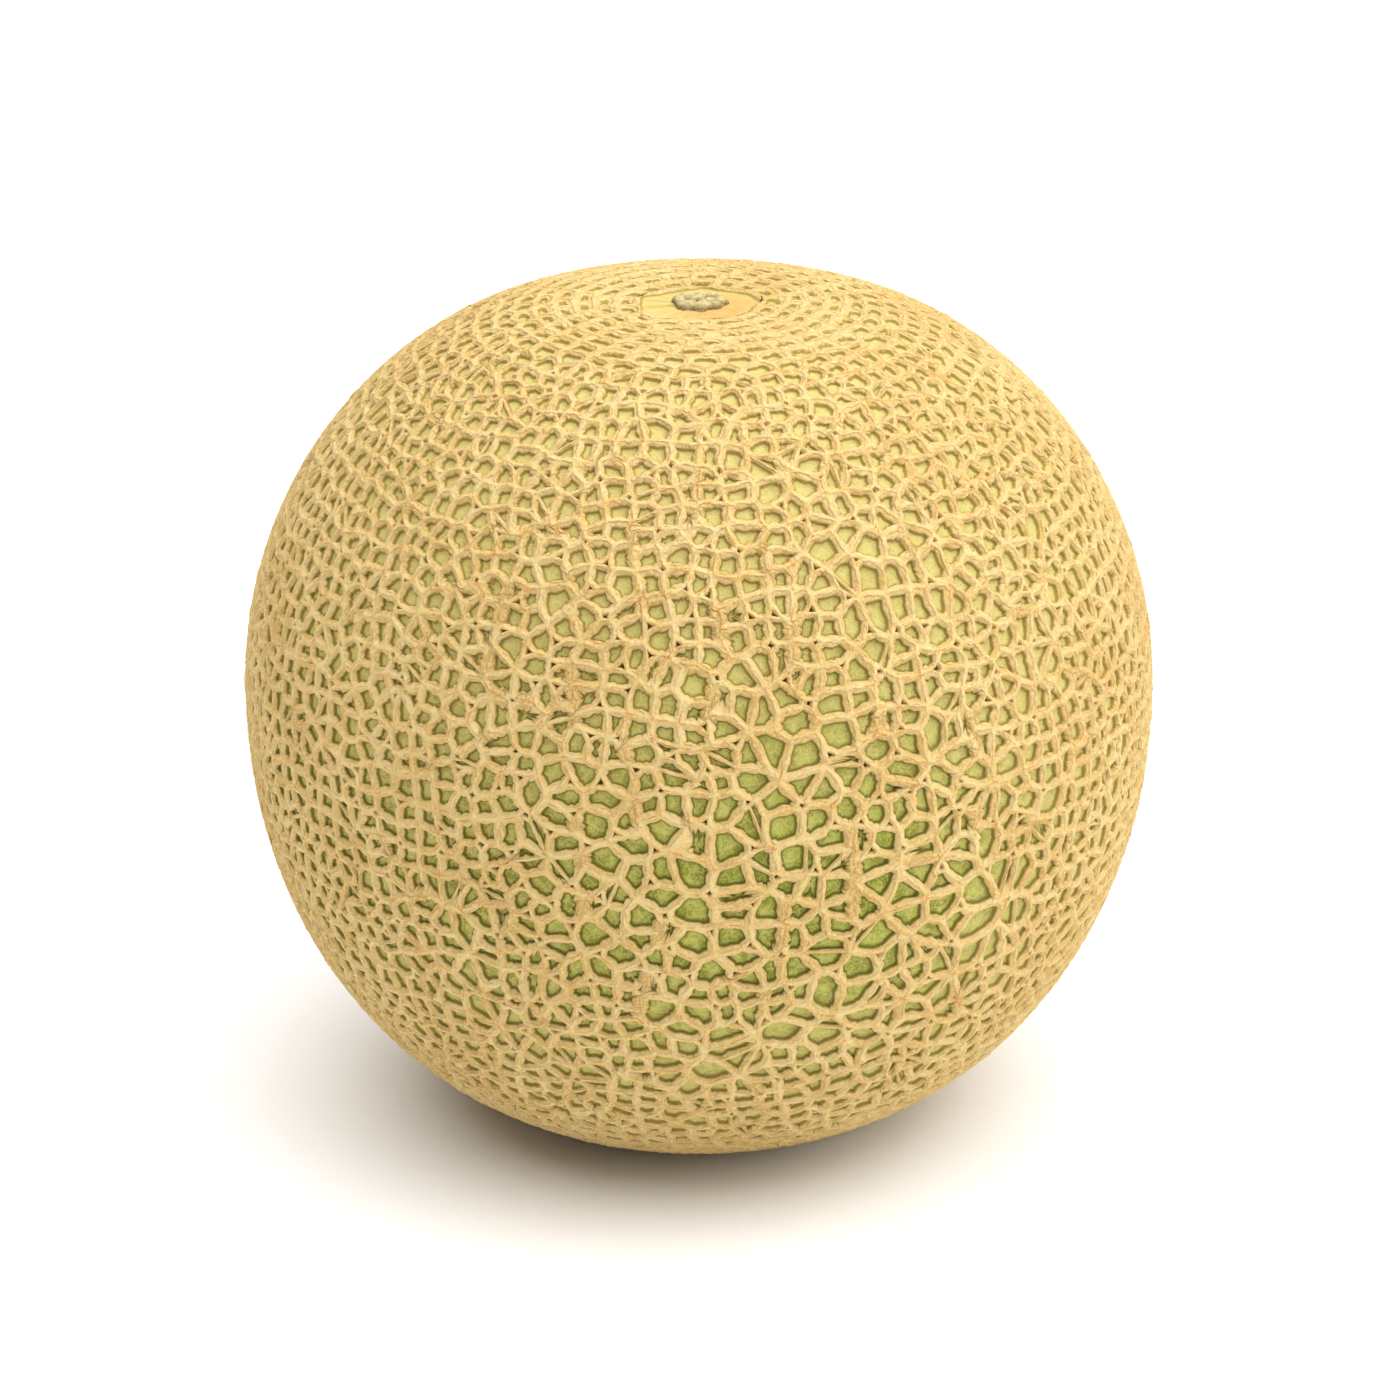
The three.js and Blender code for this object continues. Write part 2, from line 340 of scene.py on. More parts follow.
def ring_seeds(first, last, cell, amount, even_rings, lane):
    """Seeds in rings between two distances from the ends, looser away from the ends."""
    span = RUN[-1] - first - last
    rings = round(span / cell[1])
    found = []
    for ring in range(rings + 1):
        polar = polar_at(first + ring / rings * span)
        girth = 2 * math.pi * outline(polar)[0]
        count = COLUMN_STEP * math.floor(girth / cell[0] / COLUMN_STEP + 0.5)
        loose = min(1, ring / even_rings, (rings - ring) / even_rings)
        column = np.arange(count)
        tag = 1000 * ring + column
        azimuth = (column + amount * scatter(tag, lane) + RING_TURN * ring) / count * 2 * math.pi
        slip = loose * amount * scatter(tag, lane + 1) * cell[1] / EQUATOR_RADIUS
        found.append(direction_at(polar + slip, azimuth))
    return found


def round_of_corners(seeds):
    """Corners of the net over the seeds, and the corners round each seed in turning order.

    A map from the last seed, which is the lowest point, keeps circles round, so the flat
    triangles are those of the sphere.
    """
    flat = seeds[:-1, :2] / (1 + seeds[:-1, 2:])
    faces = delaunay_2d_cdt([tuple(p) for p in flat.tolist()], [], [], 0, 0.0)[2]
    faces = [list(face) for face in faces]
    halves = {pair for face in faces for pair in pairs_of(face)}
    lowest = len(seeds) - 1
    faces += [[b, a, lowest] for a, b in sorted(halves) if (b, a) not in halves]
    a, b, c = (seeds[[face[k] for face in faces]] for k in range(3))
    corners = unit(np.cross(b - a, c - a))
    around = [[] for _ in seeds]
    for index, face in enumerate(faces):
        for seed in face:
            around[seed].append(index)
    return corners, [turn_order(seeds[i], around[i], corners) for i in range(len(seeds))]


def cell_axes(out):
    helper = np.array([1.0, 0, 0]) if abs(out[2]) > 0.9 else np.array([0, 0, 1.0])
    east = unit(np.cross(helper, out))
    return east, np.cross(out, east)


def turn_order(out, around, corners):
    east, north = cell_axes(out)
    angle = np.arctan2(corners[around] @ north, corners[around] @ east)
    return [around[k] for k in np.argsort(angle, kind="stable")]


def merge_short(corners, loops, shortest):
    """Two corners joined by a very short strand become one crossing."""
    leader = list(range(len(corners)))

    def find(index):
        while leader[index] != index:
            index = leader[index]
        return index

    points = surface(corners, np.zeros(len(corners)))
    for loop in loops:
        for a, b in pairs_of(loop):
            if np.linalg.norm(points[a] - points[b]) < shortest and find(a) != find(b):
                leader[find(b)] = find(a)
    group = np.array([find(k) for k in range(len(corners))])
    total = np.zeros_like(corners)
    np.add.at(total, group, corners)
    merged = unit(np.where(np.linalg.norm(total, axis=1, keepdims=True) > 0, total, corners))
    kept = []
    for loop in loops:
        names = [int(group[k]) for k in loop]
        kept.append([k for k, after in pairs_of(names) if k != after])
    return merged, kept


def wide_lines():
    """Ends of the lines of the solid's net, in pairs, away from the clean rings."""
    poles = direction_at(np.array([0.0, math.pi]), 0.0)
    rings = ring_seeds(
        WIDE_FIRST_RING, WIDE_LAST_RING, WIDE_CELL, WIDE_SCATTER, WIDE_EVEN_RINGS, 1
    )
    corners, loops = round_of_corners(np.concatenate([poles[:1], *rings, poles[1:]]))
    corners, loops = merge_short(corners, loops, WIDE_SHORTEST)
    points = surface(corners, np.zeros(len(corners)))
    pairs = {tuple(sorted(p)) for loop in loops[1:-1] for p in pairs_of(loop)}
    pairs = np.array(sorted(pairs))
    start, end = points[pairs[:, 0]], points[pairs[:, 1]]
    middle = (start + end) / 2
    clear = np.hypot(middle[:, 0], middle[:, 1])
    keep = np.where(middle[:, 2] > EQUATOR_LEVEL, clear > CLEAR_OF_STEM, clear > CLEAR_OF_BASE)
    keep &= nearest_on_lines(middle, *rib_lines())[1] > CLEAR_OF_RIB
    return start[keep], end[keep]


def rib_lines():
    """Ends of the short straight parts of the ribs, in pairs."""
    heights = outline(POLAR)[1]
    starts, ends = [], []
    for rib in RIBS:
        turn, level = np.array(rib).T
        share = np.linspace(0, len(rib) - 1, 4 * len(rib))
        turn = np.interp(share, np.arange(len(rib)), turn)
        level = np.interp(share, np.arange(len(rib)), level)
        polar = np.interp(-level, -heights, POLAR)
        points = surface(direction_at(polar, np.radians(turn - 90)), np.zeros(len(polar)))
        starts.append(points[:-1])
        ends.append(points[1:])
    return np.concatenate(starts), np.concatenate(ends)


def nearest_on_lines(points, start, end):
    """The nearest point on the lines for each point, and its distance."""
    along = end - start
    length = (along**2).sum(1)
    best = np.empty_like(points)
    for first in range(0, len(points), BATCH):
        part = points[first : first + BATCH, None]
        share = np.clip(((part - start) * along).sum(2) / length, 0, 1)
        foot = start + share[..., None] * along
        which = ((foot - part) ** 2).sum(2).argmin(1)
        best[first : first + BATCH] = foot[np.arange(len(which)), which]
    return best, np.linalg.norm(best - points, axis=1)


def opening(directions):
    """How open and green the net is: most of all right of the middle of the front."""
    angle = np.arccos(np.clip(directions @ unit(np.array(OPEN_TOWARDS)), -1, 1))
    full, none = OPEN_REACH
    return np.clip((none - angle) / (none - full), 0, 1)


def paleness_with_painted_light(points):
    """How pale the rind is between the strands: more near both ends and on the right flank. This is
    partly the rind's own paler tan towards the ends and partly painted light, lighter on the lit
    right flank and low down against the shade there.
    """
    height = points[:, 2]
    climb = np.maximum(height - EQUATOR_LEVEL, PALE_LOW - height) / PALE_CLIMB
    side = np.maximum(0, points[:, 0] - PAINTED_LIGHT_SIDE) / PAINTED_LIGHT_SIDE
    return PALE_SHARE * np.clip(climb + side, 0, 1)


def run_of(directions):
    """Distance along the surface from the stem end."""
    return np.interp(polar_of(directions), POLAR, RUN)


def rim(radius, count, lane, from_stem):
    """Two rings of seeds on either side of a round rim, so that a strand runs along it."""
    rings = []
    for side in (-1, 1):
        run = radius + side * RIM_GAP
        polar = polar_at(run if from_stem else RUN[-1] - run)
        azimuth = (np.arange(count) + 0.5 * scatter(np.arange(count), lane)) / count * 2 * math.pi
        rings.append(direction_at(polar, azimuth))
    return rings


def crown_seeds():
    """Seeds of the clean rings round the disc, shifted by half a cell from ring to ring."""
    rings = []
    for ring in range(1, CROWN_RINGS):
        run = DISC_RADIUS + RIM_GAP + ring * CROWN_STEP
        polar = polar_at(run)
        count = round(2 * math.pi * outline(polar)[0] / CROWN_CELL)
        column = np.arange(count)
        place = column + 0.5 * (ring % 2) + 0.26 * scatter(1000 * ring + column, 24)
        rings.append(direction_at(polar, place / count * 2 * math.pi))
    return rings


def disc_edge(azimuth):
    """How far out the rim of the disc is, as a share of its radius."""
    return 1 + sum(size * np.sin(count * azimuth + start) for count, start, size in DISC_WAVES)


def onto_rings(corners):
    """Corners near the stem end moved onto circles between the rings of cells."""
    run = run_of(corners)
    azimuth = np.arctan2(corners[:, 1], corners[:, 0])
    first = DISC_RADIUS + RIM_GAP + CROWN_STEP / 2
    circle = first + CROWN_STEP * np.maximum(0, np.round((run - first) / CROWN_STEP))
    rim_run = np.where(run < first - CROWN_STEP / 2, DISC_RADIUS, circle)
    hold = np.clip((CROWN_FADE[1] - run) / (CROWN_FADE[1] - CROWN_FADE[0]), 0, 1)
    hold[(run < DISC_RADIUS - RIM_GAP) | (np.abs(rim_run - run) > SNAP_TO_RING)] = 0
    wave = 1 + (disc_edge(azimuth) - 1) * np.exp((DISC_RADIUS - rim_run) / DISC_WAVE_REACH)
    polar = np.interp(run + (rim_run * wave - run) * hold, RUN, POLAR)
    return direction_at(polar, azimuth)


def crown_relief(run):
    """How high the net stands at distances from the stem end, as a share of the rest."""
    near, clear = CROWN_DEPTH_FADE
    return CROWN_DEPTH + (1 - CROWN_DEPTH) * np.clip((run - near) / (clear - near), 0, 1)


def fine_seeds(lines):
    """Seeds of the fine net, and the numbers of those under the disc and under the flat spot."""
    disc_in, disc_out = rim(DISC_RADIUS, DISC_CELLS, 21, True)
    flat_in, flat_out = rim(FLAT_RADIUS, FLAT_CELLS, 22, False)
    crown = crown_seeds()
    first = DISC_RADIUS + RIM_GAP + CROWN_RINGS * CROWN_STEP
    last = FLAT_RADIUS + RIM_GAP + FINE_CELL[1]
    body = np.concatenate(ring_seeds(first, last, FINE_CELL, FINE_SCATTER, FINE_EVEN_RINGS, 3))
    tag = np.arange(len(body))
    body = body[scatter(tag, 9) + 0.5 >= OPEN_SHARE * opening(body)]
    points = surface(body, np.zeros(len(body)))
    foot, distance = nearest_on_lines(points, *lines)
    push = np.maximum(0, CLEAR_OF_LINE - distance)[:, None] * unit(points - foot + 1e-9)
    body = towards(points + push)
    poles = direction_at(np.array([0.0, math.pi]), 0.0)
    parts = [poles[:1], disc_in, disc_out, *crown, body, flat_out, flat_in, poles[1:]]
    seeds = np.concatenate(parts)
    under_disc = range(1 + len(disc_in))
    under_flat = range(len(seeds) - 1 - len(flat_in), len(seeds))
    return seeds, under_disc, under_flat


def border(loops):
    """Loop round the outside of several cells."""
    halves = {pair for loop in loops for pair in pairs_of(loop)}
    after = {a: b for a, b in halves if (b, a) not in halves}
    start = min(after)
    loop = [start]
    while after[loop[-1]] != start:
        loop.append(after[loop[-1]])
    return loop


class Net:
    """The fine net: directions of its corners, loops of its cells and gaps, and its wisps."""

    def __init__(self):
        self.ribs = rib_lines()
        self.wide = wide_lines()
        lines = [np.concatenate(ends) for ends in zip(self.ribs, self.wide)]
        seeds, under_disc, under_flat = fine_seeds(lines)
        corners, loops = round_of_corners(seeds)
        corners = onto_rings(corners)
        points = surface(corners, np.zeros(len(corners)))
        foot, distance = nearest_on_lines(points, *lines)
        near = distance < SNAP_TO_LINE
        corners[near] = towards(foot[near])
        corners, loops = merge_short(corners, loops, FINE_SHORTEST)
        self.corners = list(corners)
        self.disc = border([loops[k] for k in under_disc])
        self.flat = border([loops[k] for k in under_flat])
        self.cells = [loop for loop in loops[under_disc.stop : under_flat.start] if len(loop) > 2]
        self.gaps, self.wisps, self.forks = [], set(), set()
        self.split_cells()
        self.open_gaps()
        self.corners = np.array(self.corners)

    def split_cells(self):
        """Some roomy cells get a thin low strand across them."""
        split = []
        points = surface(np.array(self.corners), np.zeros(len(self.corners)))
        for number, loop in enumerate(self.cells):
            span = np.linalg.norm(points[loop] - points[loop].mean(0), axis=1).min()
            low = run_of(np.array([self.corners[loop[0]]]))[0] < CROWN_FADE[1]
            whole = scatter(number, 25) + 0.5 > SPLIT_CHANCE
            if len(loop) < SPLIT_CORNERS or span < SPLIT_ROOM or low or whole:
                split.append(loop)
                continue
            turn = int((scatter(number, 26) + 0.5) * len(loop))
            loop = loop[turn:] + loop[:turn]
            far = len(loop) // 2
            self.wisps.add(tuple(sorted((loop[0], loop[far]))))
            split += [loop[: far + 1], loop[far:] + loop[:1]]
        self.cells = split

    def open_gaps(self):
        """Gaps where strands part round a crossing, as three or more corners; none side by side."""
        where = {}
        for number, loop in enumerate(self.cells):
            for place, corner in enumerate(loop):
                before, after = loop[place - 1], loop[(place + 1) % len(loop)]
                where.setdefault(corner, []).append((number, before, after))
        points = surface(np.array(self.corners), np.zeros(len(self.corners)))
        closed = set(self.disc) | set(self.flat)
        closed |= set(np.flatnonzero(run_of(np.array(self.corners)) < CROWN_FADE[1]).tolist())
        swaps = {}
        for corner in sorted(where, key=lambda k: float(scatter(k, 11))):
            cells = where[corner]
            near = {before for _, before, _ in cells}
            if corner in closed or len(near) < 3 or near != {after for _, _, after in cells}:
                continue
            if scatter(corner, 27) + 0.5 > GAP_CHANCE:
                continue
            closed |= near
            arms = {}
            for other in near:
                length = np.linalg.norm(points[other] - points[corner])
                wanted = GAP_REACH * (1 + 0.5 * scatter(corner, 12) + 0.3 * scatter(other, 28))
                reach = min(wanted * 3 / len(near), GAP_REACH_SHARE * length)
                point = points[corner] + (points[other] - points[corner]) * reach / length
                arms[other] = len(self.corners)
                self.corners.append(towards(point))
                if tuple(sorted((corner, other))) in self.wisps:
                    self.wisps.add(tuple(sorted((arms[other], other))))
            turn = {before: after for _, before, after in cells}
            start = next(iter(turn))
            ring = [start]
            while turn[ring[-1]] != start:
                ring.append(turn[ring[-1]])
            gap = [arms[k] for k in reversed(ring)]
            self.gaps.append(gap)
            self.forks |= {tuple(sorted(pair)) for pair in pairs_of(gap)}
            for number, before, after in cells:
                swaps[number, corner] = (arms[before], arms[after])
        for number, loop in enumerate(self.cells):
            parts = [swaps.get((number, corner), (corner,)) for corner in loop]
            self.cells[number] = [corner for part in parts for corner in part]


def roomy_point(flat, along):
    """Point of a cell that is far from all of its sides."""

    def room(spots):
        away = flat - spots[:, None]
        return (away[..., 0] * along[:, 1] - away[..., 1] * along[:, 0]).min(1)

    turn = np.arange(8) * math.pi / 4
    round_about = np.stack([np.cos(turn), np.sin(turn)], 1)
    best = np.zeros((1, 2))
    best_room = room(best)[0]
    for step in (0.8, 0.4, 0.2):
        for _ in range(2):
            spots = best + step * round_about
            rooms = room(spots)
            if rooms.max() > best_room:
                best, best_room = spots[rooms.argmax()][None], rooms.max()
    return best[0], best_room


def cell_plane(corners):
    """Middle and axes of a cell, its room, and how far off and which way each side faces."""
    middle = corners.mean(0)
    east, north = cell_axes(unit(middle - MIDDLE))
    flat = np.stack([(corners - middle) @ east, (corners - middle) @ north], 1)
    along = unit(np.roll(flat, -1, 0) - flat)
    centre, room = roomy_point(flat, along)
    middle = middle + centre[0] * east + centre[1] * north
    flat = flat - centre
    reach = np.maximum(LEAST_REACH, flat[:, 0] * along[:, 1] - flat[:, 1] * along[:, 0])
    return middle, east, north, room, reach, np.arctan2(-along[:, 0], along[:, 1])


def inset(space, bow, last):
    """Distance out of each point of a band, given its space to each side, with round corners."""
    near = (space**-CORNER_SHARPNESS).sum(1) ** (-1 / CORNER_SHARPNESS) + bow
    return np.clip(near, LEAST_RADIUS, last * NEXT_RADIUS)


# Directions and lengths of the waves that swell and thin the strands.
SWELL_WAVES = np.array([[1.8, -0.7, 0.4], [0.8, 1.7, -1.0], [0.4, 1.2, 1.7]]).T


class Shell:
    """Vertices of the whole surface, as directions, rises and values, and its triangles."""

    def __init__(self, net):
        self.net = net
        self.direction, self.rise, self.across, self.thread, self.tone = [], [], [], [], []
        self.faces, self.face_cell = [], []
        self.crests = surface(net.corners, np.zeros(len(net.corners)))
        self.strands = {}
        self.corner_vertex = {}
        self.measure_strands()

    def add(self, direction, rise, across, thread, tone):
        first = len(self.direction)
        self.direction.extend(direction)
        lists = (self.rise, self.across, self.thread, self.tone)
        for values, value in zip(lists, (rise, across, thread, tone)):
            values.extend(np.broadcast_to(value, len(direction)))
        return np.arange(first, first + len(direction))

    def half_widths(self, pairs, start, end):
        """Half width of each strand and how far its crest lies below the highest."""
        tag = np.arange(len(pairs))

        def on(lines):
            spots = (start, end, (start + end) / 2)
            return np.all([nearest_on_lines(spot, *lines)[1] < ON_LINE for spot in spots], axis=0)

        names = [tuple(pair) for pair in pairs.tolist()]
        run_start, run_end = run_of(towards(start)), run_of(towards(end))
        ring = (np.abs(run_start - run_end) < RING_LEVEL) & (run_start < RINGS_END)
        fork = np.array([name in self.net.forks for name in names])
        wisp = np.array([name in self.net.wisps for name in names])
        thin = THIN_HALF[0] + (THIN_HALF[1] - THIN_HALF[0]) * (scatter(tag, 13) + 0.5)
        kinds = [on(self.net.ribs), on(self.net.wide), ring, fork, wisp]
        halves = [RIB_HALF, WIDE_HALF, RING_HALF, FORK_HALF, WISP_HALF]
        half = np.select(kinds, halves, thin) * (1 + 0.16 * scatter(tag, 14))
        drop = np.select(kinds, [0.0, 0.0, RING_DROP, THIN_DROP, WISP_DROP], THIN_DROP)
        return half, drop

    def measure_strands(self):
        """Half width, drop, tone and crest samples of each strand, from its lower corner."""
        loops = self.net.cells + self.net.gaps + [self.net.disc, self.net.flat]
        pairs = np.array(sorted({tuple(sorted(p)) for loop in loops for p in pairs_of(loop)}))
        start, end = self.crests[pairs[:, 0]], self.crests[pairs[:, 1]]
        half, drop = self.half_widths(pairs, start, end)
        rims = set(self.net.disc) | set(self.net.flat)
        for number, (a, b) in enumerate(pairs.tolist()):
            length = np.linalg.norm(end[number] - start[number])
            count = max(2, round(length / SAMPLE))
            share = np.arange(1, count) / count
            point = start[number] + share[:, None] * (end[number] - start[number])
            out = towards(point.mean(0))
            aside = unit(np.cross(out, end[number] - start[number]))
            bow = 0 if a in rims and b in rims else BOW * scatter(number, 15) * min(length, 3) / 2
            belly = np.sin(math.pi * share)
            point = point + bow * belly[:, None] * aside
            relief = crown_relief(run_of(out[None])[0])
            thick = half[number] > WIDE_HALF and not drop[number]
            tone, thread = (-1.0, THREAD / 2) if thick else (scatter(number, 16), 0.0)
            groove = GROOVE_DEPTH if thick else 0.0
            rise = -relief * (groove + drop[number] + CROSSING_DIP * (1 - belly) ** 2)
            ids = self.add(towards(point), rise, 0.0, thread, tone)
            self.strands[a, b] = (half[number], drop[number], tone, ids, share)
        relief = crown_relief(run_of(self.net.corners))
        for corner in sorted({k for pair in self.strands for k in pair}):
            rise = [-(CROSSING_DIP + THIN_DROP) * relief[corner]]
            tone = scatter(corner, 17)
            self.corner_vertex[corner] = self.add([self.net.corners[corner]], rise, 0, 0, tone)[0]

    def crest_loop(self, loop):
        """Crest vertices round a cell with the side and the share along it of each."""
        ids, side, share, half, drop, tone = [], [], [], [], [], []
        for number, (a, b) in enumerate(pairs_of(loop)):
            width, fall, shade, inner, part = self.strands[min(a, b), max(a, b)]
            inner, part = (inner, part) if a < b else (inner[::-1], 1 - part[::-1])
            ids += [self.corner_vertex[a], *inner]
            share += [0.0, *part]
            side += [number] * (1 + len(inner))
            half.append(width)
            drop.append(fall)
            tone.append(shade)
        arrays = (np.array(values) for values in (side, share, half, drop, tone))
        return np.array(ids), *arrays

    def add_cell(self, loop, number, is_gap):
        """Bands from the crests round a cell down its walls, and a floor."""
        ids, side, share, half, drop, tone = self.crest_loop(loop)
        middle, east, north, room, reach, facing = cell_plane(self.crests[loop])
        crest = surface(np.array([self.direction[k] for k in ids]), np.zeros(len(ids)))
        if room < SLIVER_ROOM:
            centre = self.add([towards(middle)], -THIN_DROP, SLIVER_ACROSS, SLIVER_ACROSS, 0.0)[0]
            self.fan(ids, centre, number)
            return
        relief = crown_relief(run_of(towards(middle)[None])[0])
        swell = 1 + SWELL * relief * np.sin(crest @ SWELL_WAVES).sum(1)
        crest = np.stack([(crest - middle) @ east, (crest - middle) @ north], 1)
        far = np.linalg.norm(crest, axis=1)
        angle = np.arctan2(crest[:, 1], crest[:, 0])
        turn = np.maximum(LEAST_TURN, np.cos(angle[:, None] - facing))
        bow = np.clip(far - (reach / turn).min(1), -BOW_KEPT, BOW_KEPT)
        outwards = np.cos(angle)[:, None] * east + np.sin(angle)[:, None] * north
        belly = np.sin(math.pi * share)
        wide = (SPINDLE[0] + SPINDLE[1] * belly) * swell
        section = GAP_SECTION if is_gap else SECTION
        width = np.full(len(half), GAP_HALF) if is_gap else half
        tight = min(1.0, TIGHTEST * max(room, LEAST_ROOM) / (section[-1][0] * width.mean()))
        width = width * tight
        depth = relief * min(1, DEPTH_BY_ROOM[0] + DEPTH_BY_ROOM[1] * tight)
        bare = 1.0 if is_gap else min(1, tight / SLIVER)
        rings = [ids]
        last = far
        for level, (part, fall) in enumerate(section):
            space = np.maximum(LEAST_SPACE, reach - part * width * wide[:, None]) / turn
            last = inset(space, bow, last)
            spot = middle + last[:, None] * outwards
            top = level < 2
            dip = (drop[side] + CROSSING_DIP * (1 - belly) ** 2) if top else 0
            rise = np.minimum(fall * depth - dip * relief, 0)
            thread = part * width[side] * wide + np.where(tone[side] == -1, THREAD / 2, 0)
            rings.append(self.add(towards(spot), rise, part * bare, thread, tone[side]))
        floor = (section[-1][1] + (0 if is_gap else FLOOR_RISE)) * depth
        # Gap floors take the painted shade colour through their across value.
        inside = GAP_SHADED_ACROSS if is_gap else FLOOR_ACROSS * bare
        shade = scatter(number, 20)
        centre = self.add([towards(middle)], floor, inside, inside, shade)[0]
        for outer, inner in zip(rings, rings[1:]):
            self.band(outer, inner, number)
        self.fan(rings[-1], centre, number)

    def band(self, outer, inner, number):
        for a, b, c, d in zip(outer, np.roll(outer, -1), np.roll(inner, -1), inner):
            self.faces += [(a, b, c), (a, c, d)]
            self.face_cell += [number, number]

    def fan(self, ring, middle, number):
        for a, b in zip(ring, np.roll(ring, -1)):
            self.faces.append((a, b, middle))
            self.face_cell.append(number)

    def add_round(self, loop, profile, number):
        """Smooth round spot at an end of the fruit, in rings from its rim to its middle."""
        ids = self.crest_loop(loop)[0]
        direction = np.array([self.direction[k] for k in ids])
        azimuth = np.arctan2(direction[:, 1], direction[:, 0])
        upper = direction[0, 2] > 0
        tone = scatter(ids, 23)
        rings = [ids]
        for radius, rise, across in profile:
            run = radius * disc_edge(azimuth) if upper else RUN[-1] - radius
            polar = np.interp(run, RUN, POLAR)
            height = rise + (0.1 if upper else 0.0) * tone
            spot = direction_at(polar, azimuth)
            rings.append(self.add(spot, np.minimum(height, 0), across, across, tone))
        pole = direction_at(0.0 if upper else math.pi, 0.0)
        _, rise, across = profile[-1]
        middle = self.add([pole], [rise], across, across, 0.0)[0]
        for outer, inner in zip(rings, rings[1:]):
            self.band(outer, inner, number)
        self.fan(rings[-1], middle, number)


def whole_shell(net):
    """The surface over all cells and gaps, the disc and the flat spot.

    The disc goes by the number of the first cell and the flat spot by that of the last.
    """
    shell = Shell(net)
    for number, loop in enumerate(net.cells):
        shell.add_cell(loop, number, False)
    for number, loop in enumerate(net.gaps):
        shell.add_cell(loop, len(net.cells) + number, True)
    shell.add_round(net.disc, DISC_RINGS, 0)
    shell.add_round(net.flat, FLAT_RINGS, len(net.cells) - 1)
    return shell


def new_mesh(name, points, faces):
    mesh = bpy.data.meshes.new(name)
    mesh.vertices.add(len(points))
    mesh.vertices.foreach_set("co", np.asarray(points, np.float32).ravel())
    mesh.loops.add(faces.size)
    mesh.loops.foreach_set("vertex_index", faces.astype(np.int32).ravel())
    mesh.polygons.add(len(faces))
    mesh.polygons.foreach_set("loop_start", np.arange(0, faces.size, 3, dtype=np.int32))
    mesh.update(calc_edges=True)
    mesh.validate()
    return mesh


def set_values(mesh, name, values):
    mesh.attributes.new(name, "FLOAT", "POINT").data.foreach_set(
        "value", np.asarray(values, np.float32)
    )


def set_uv(mesh, corner_uv):
    layer = mesh.uv_layers.new(name="OFBake")
    layer.data.foreach_set("uv", np.asarray(corner_uv, np.float32).ravel())


def border_edges(faces):
    """Directed edges of the faces that no other face has the other way round."""
    a = faces.ravel()
    b = np.roll(faces, -1, 1).ravel()
    size = int(faces.max()) + 1
    missing = ~np.isin(a.astype(np.int64) * size + b, b.astype(np.int64) * size + a)
    return np.stack([a[missing], b[missing]], 1)


def flat_map(directions, axis):
    """Even map of the sphere round an axis, filling most of a square."""
    east, north = cell_axes(axis)
    scale = np.sqrt(2 / (1 + directions @ axis))
    flat = np.stack([directions @ east, directions @ north], 1) * scale[:, None]
    return np.array([0.5, 0.53]) + flat * PATCH_MAP


def make_patch(name, axis, faces, points, directions, values):
    """One piece of the surface, closed behind by a rim and a shallow cone."""
    used, local = np.unique(faces, return_inverse=True)
    local = local.reshape(faces.shape)
    count = len(used)
    edges = border_edges(local)
    rim_ids, rim_place = np.unique(edges[:, 0], return_inverse=True)
    place = {int(k): i for i, k in enumerate(rim_ids)}
    sunk = MIDDLE + (points[used[rim_ids]] - MIDDLE) * (1 - PATCH_DEPTH / EQUATOR_RADIUS)
    apex = MIDDLE + axis * PATCH_APEX
    under_a = count + rim_place
    under_b = count + np.array([place[int(k)] for k in edges[:, 1]])
    top = np.full(len(edges), count + len(rim_ids))
    a, b = edges.T
    back = np.concatenate(
        [
            np.stack([b, a, under_a], 1),
            np.stack([b, under_a, under_b], 1),
            np.stack([under_b, under_a, top], 1),
        ]
    )
    everything = np.concatenate([points[used], sunk, [apex]]) * MM
    mesh = new_mesh(name, everything, np.concatenate([local, back]))
    extra = len(rim_ids) + 1
    for label, series in values.items():
        set_values(mesh, label, np.concatenate([series[used], np.zeros(extra)]))
    n = len(edges)
    left, right = np.arange(n) / n, (np.arange(n) + 0.9) / n
    corners = (right, left, left), (right, left, right), (right, left, left)
    strip = np.empty((3, n, 3, 2))
    for band, (columns, levels) in enumerate(zip(corners, BACK_MAP)):
        strip[band, :, :, 0] = np.stack(columns, 1)
        strip[band, :, :, 1] = levels
    uv = flat_map(directions[used], axis)[local]
    set_uv(mesh, np.concatenate([uv.reshape(-1, 2), strip.reshape(-1, 2)]))
    smooth = np.zeros(len(local) + len(back), bool)
    smooth[: len(local)] = True
    mesh.polygons.foreach_set("use_smooth", smooth)
    ends = np.empty(2 * len(mesh.edges), np.int32)
    mesh.edges.foreach_get("vertices", ends)
    ends = np.sort(ends.reshape(-1, 2), axis=1).astype(np.int64)
    keys = np.sort(edges, axis=1).astype(np.int64)
    span = count + extra
    sharp = np.isin(ends[:, 0] * span + ends[:, 1], keys[:, 0] * span + keys[:, 1])
    mesh.attributes.new("sharp_edge", "BOOLEAN", "EDGE").data.foreach_set("value", sharp)
    return mesh


def add_piece(name, mesh, material):
    piece = bpy.data.objects.new(name, mesh)
    bpy.context.scene.collection.objects.link(piece)
    mesh.materials.append(material)
    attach(piece, "root")
    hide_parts("melon")


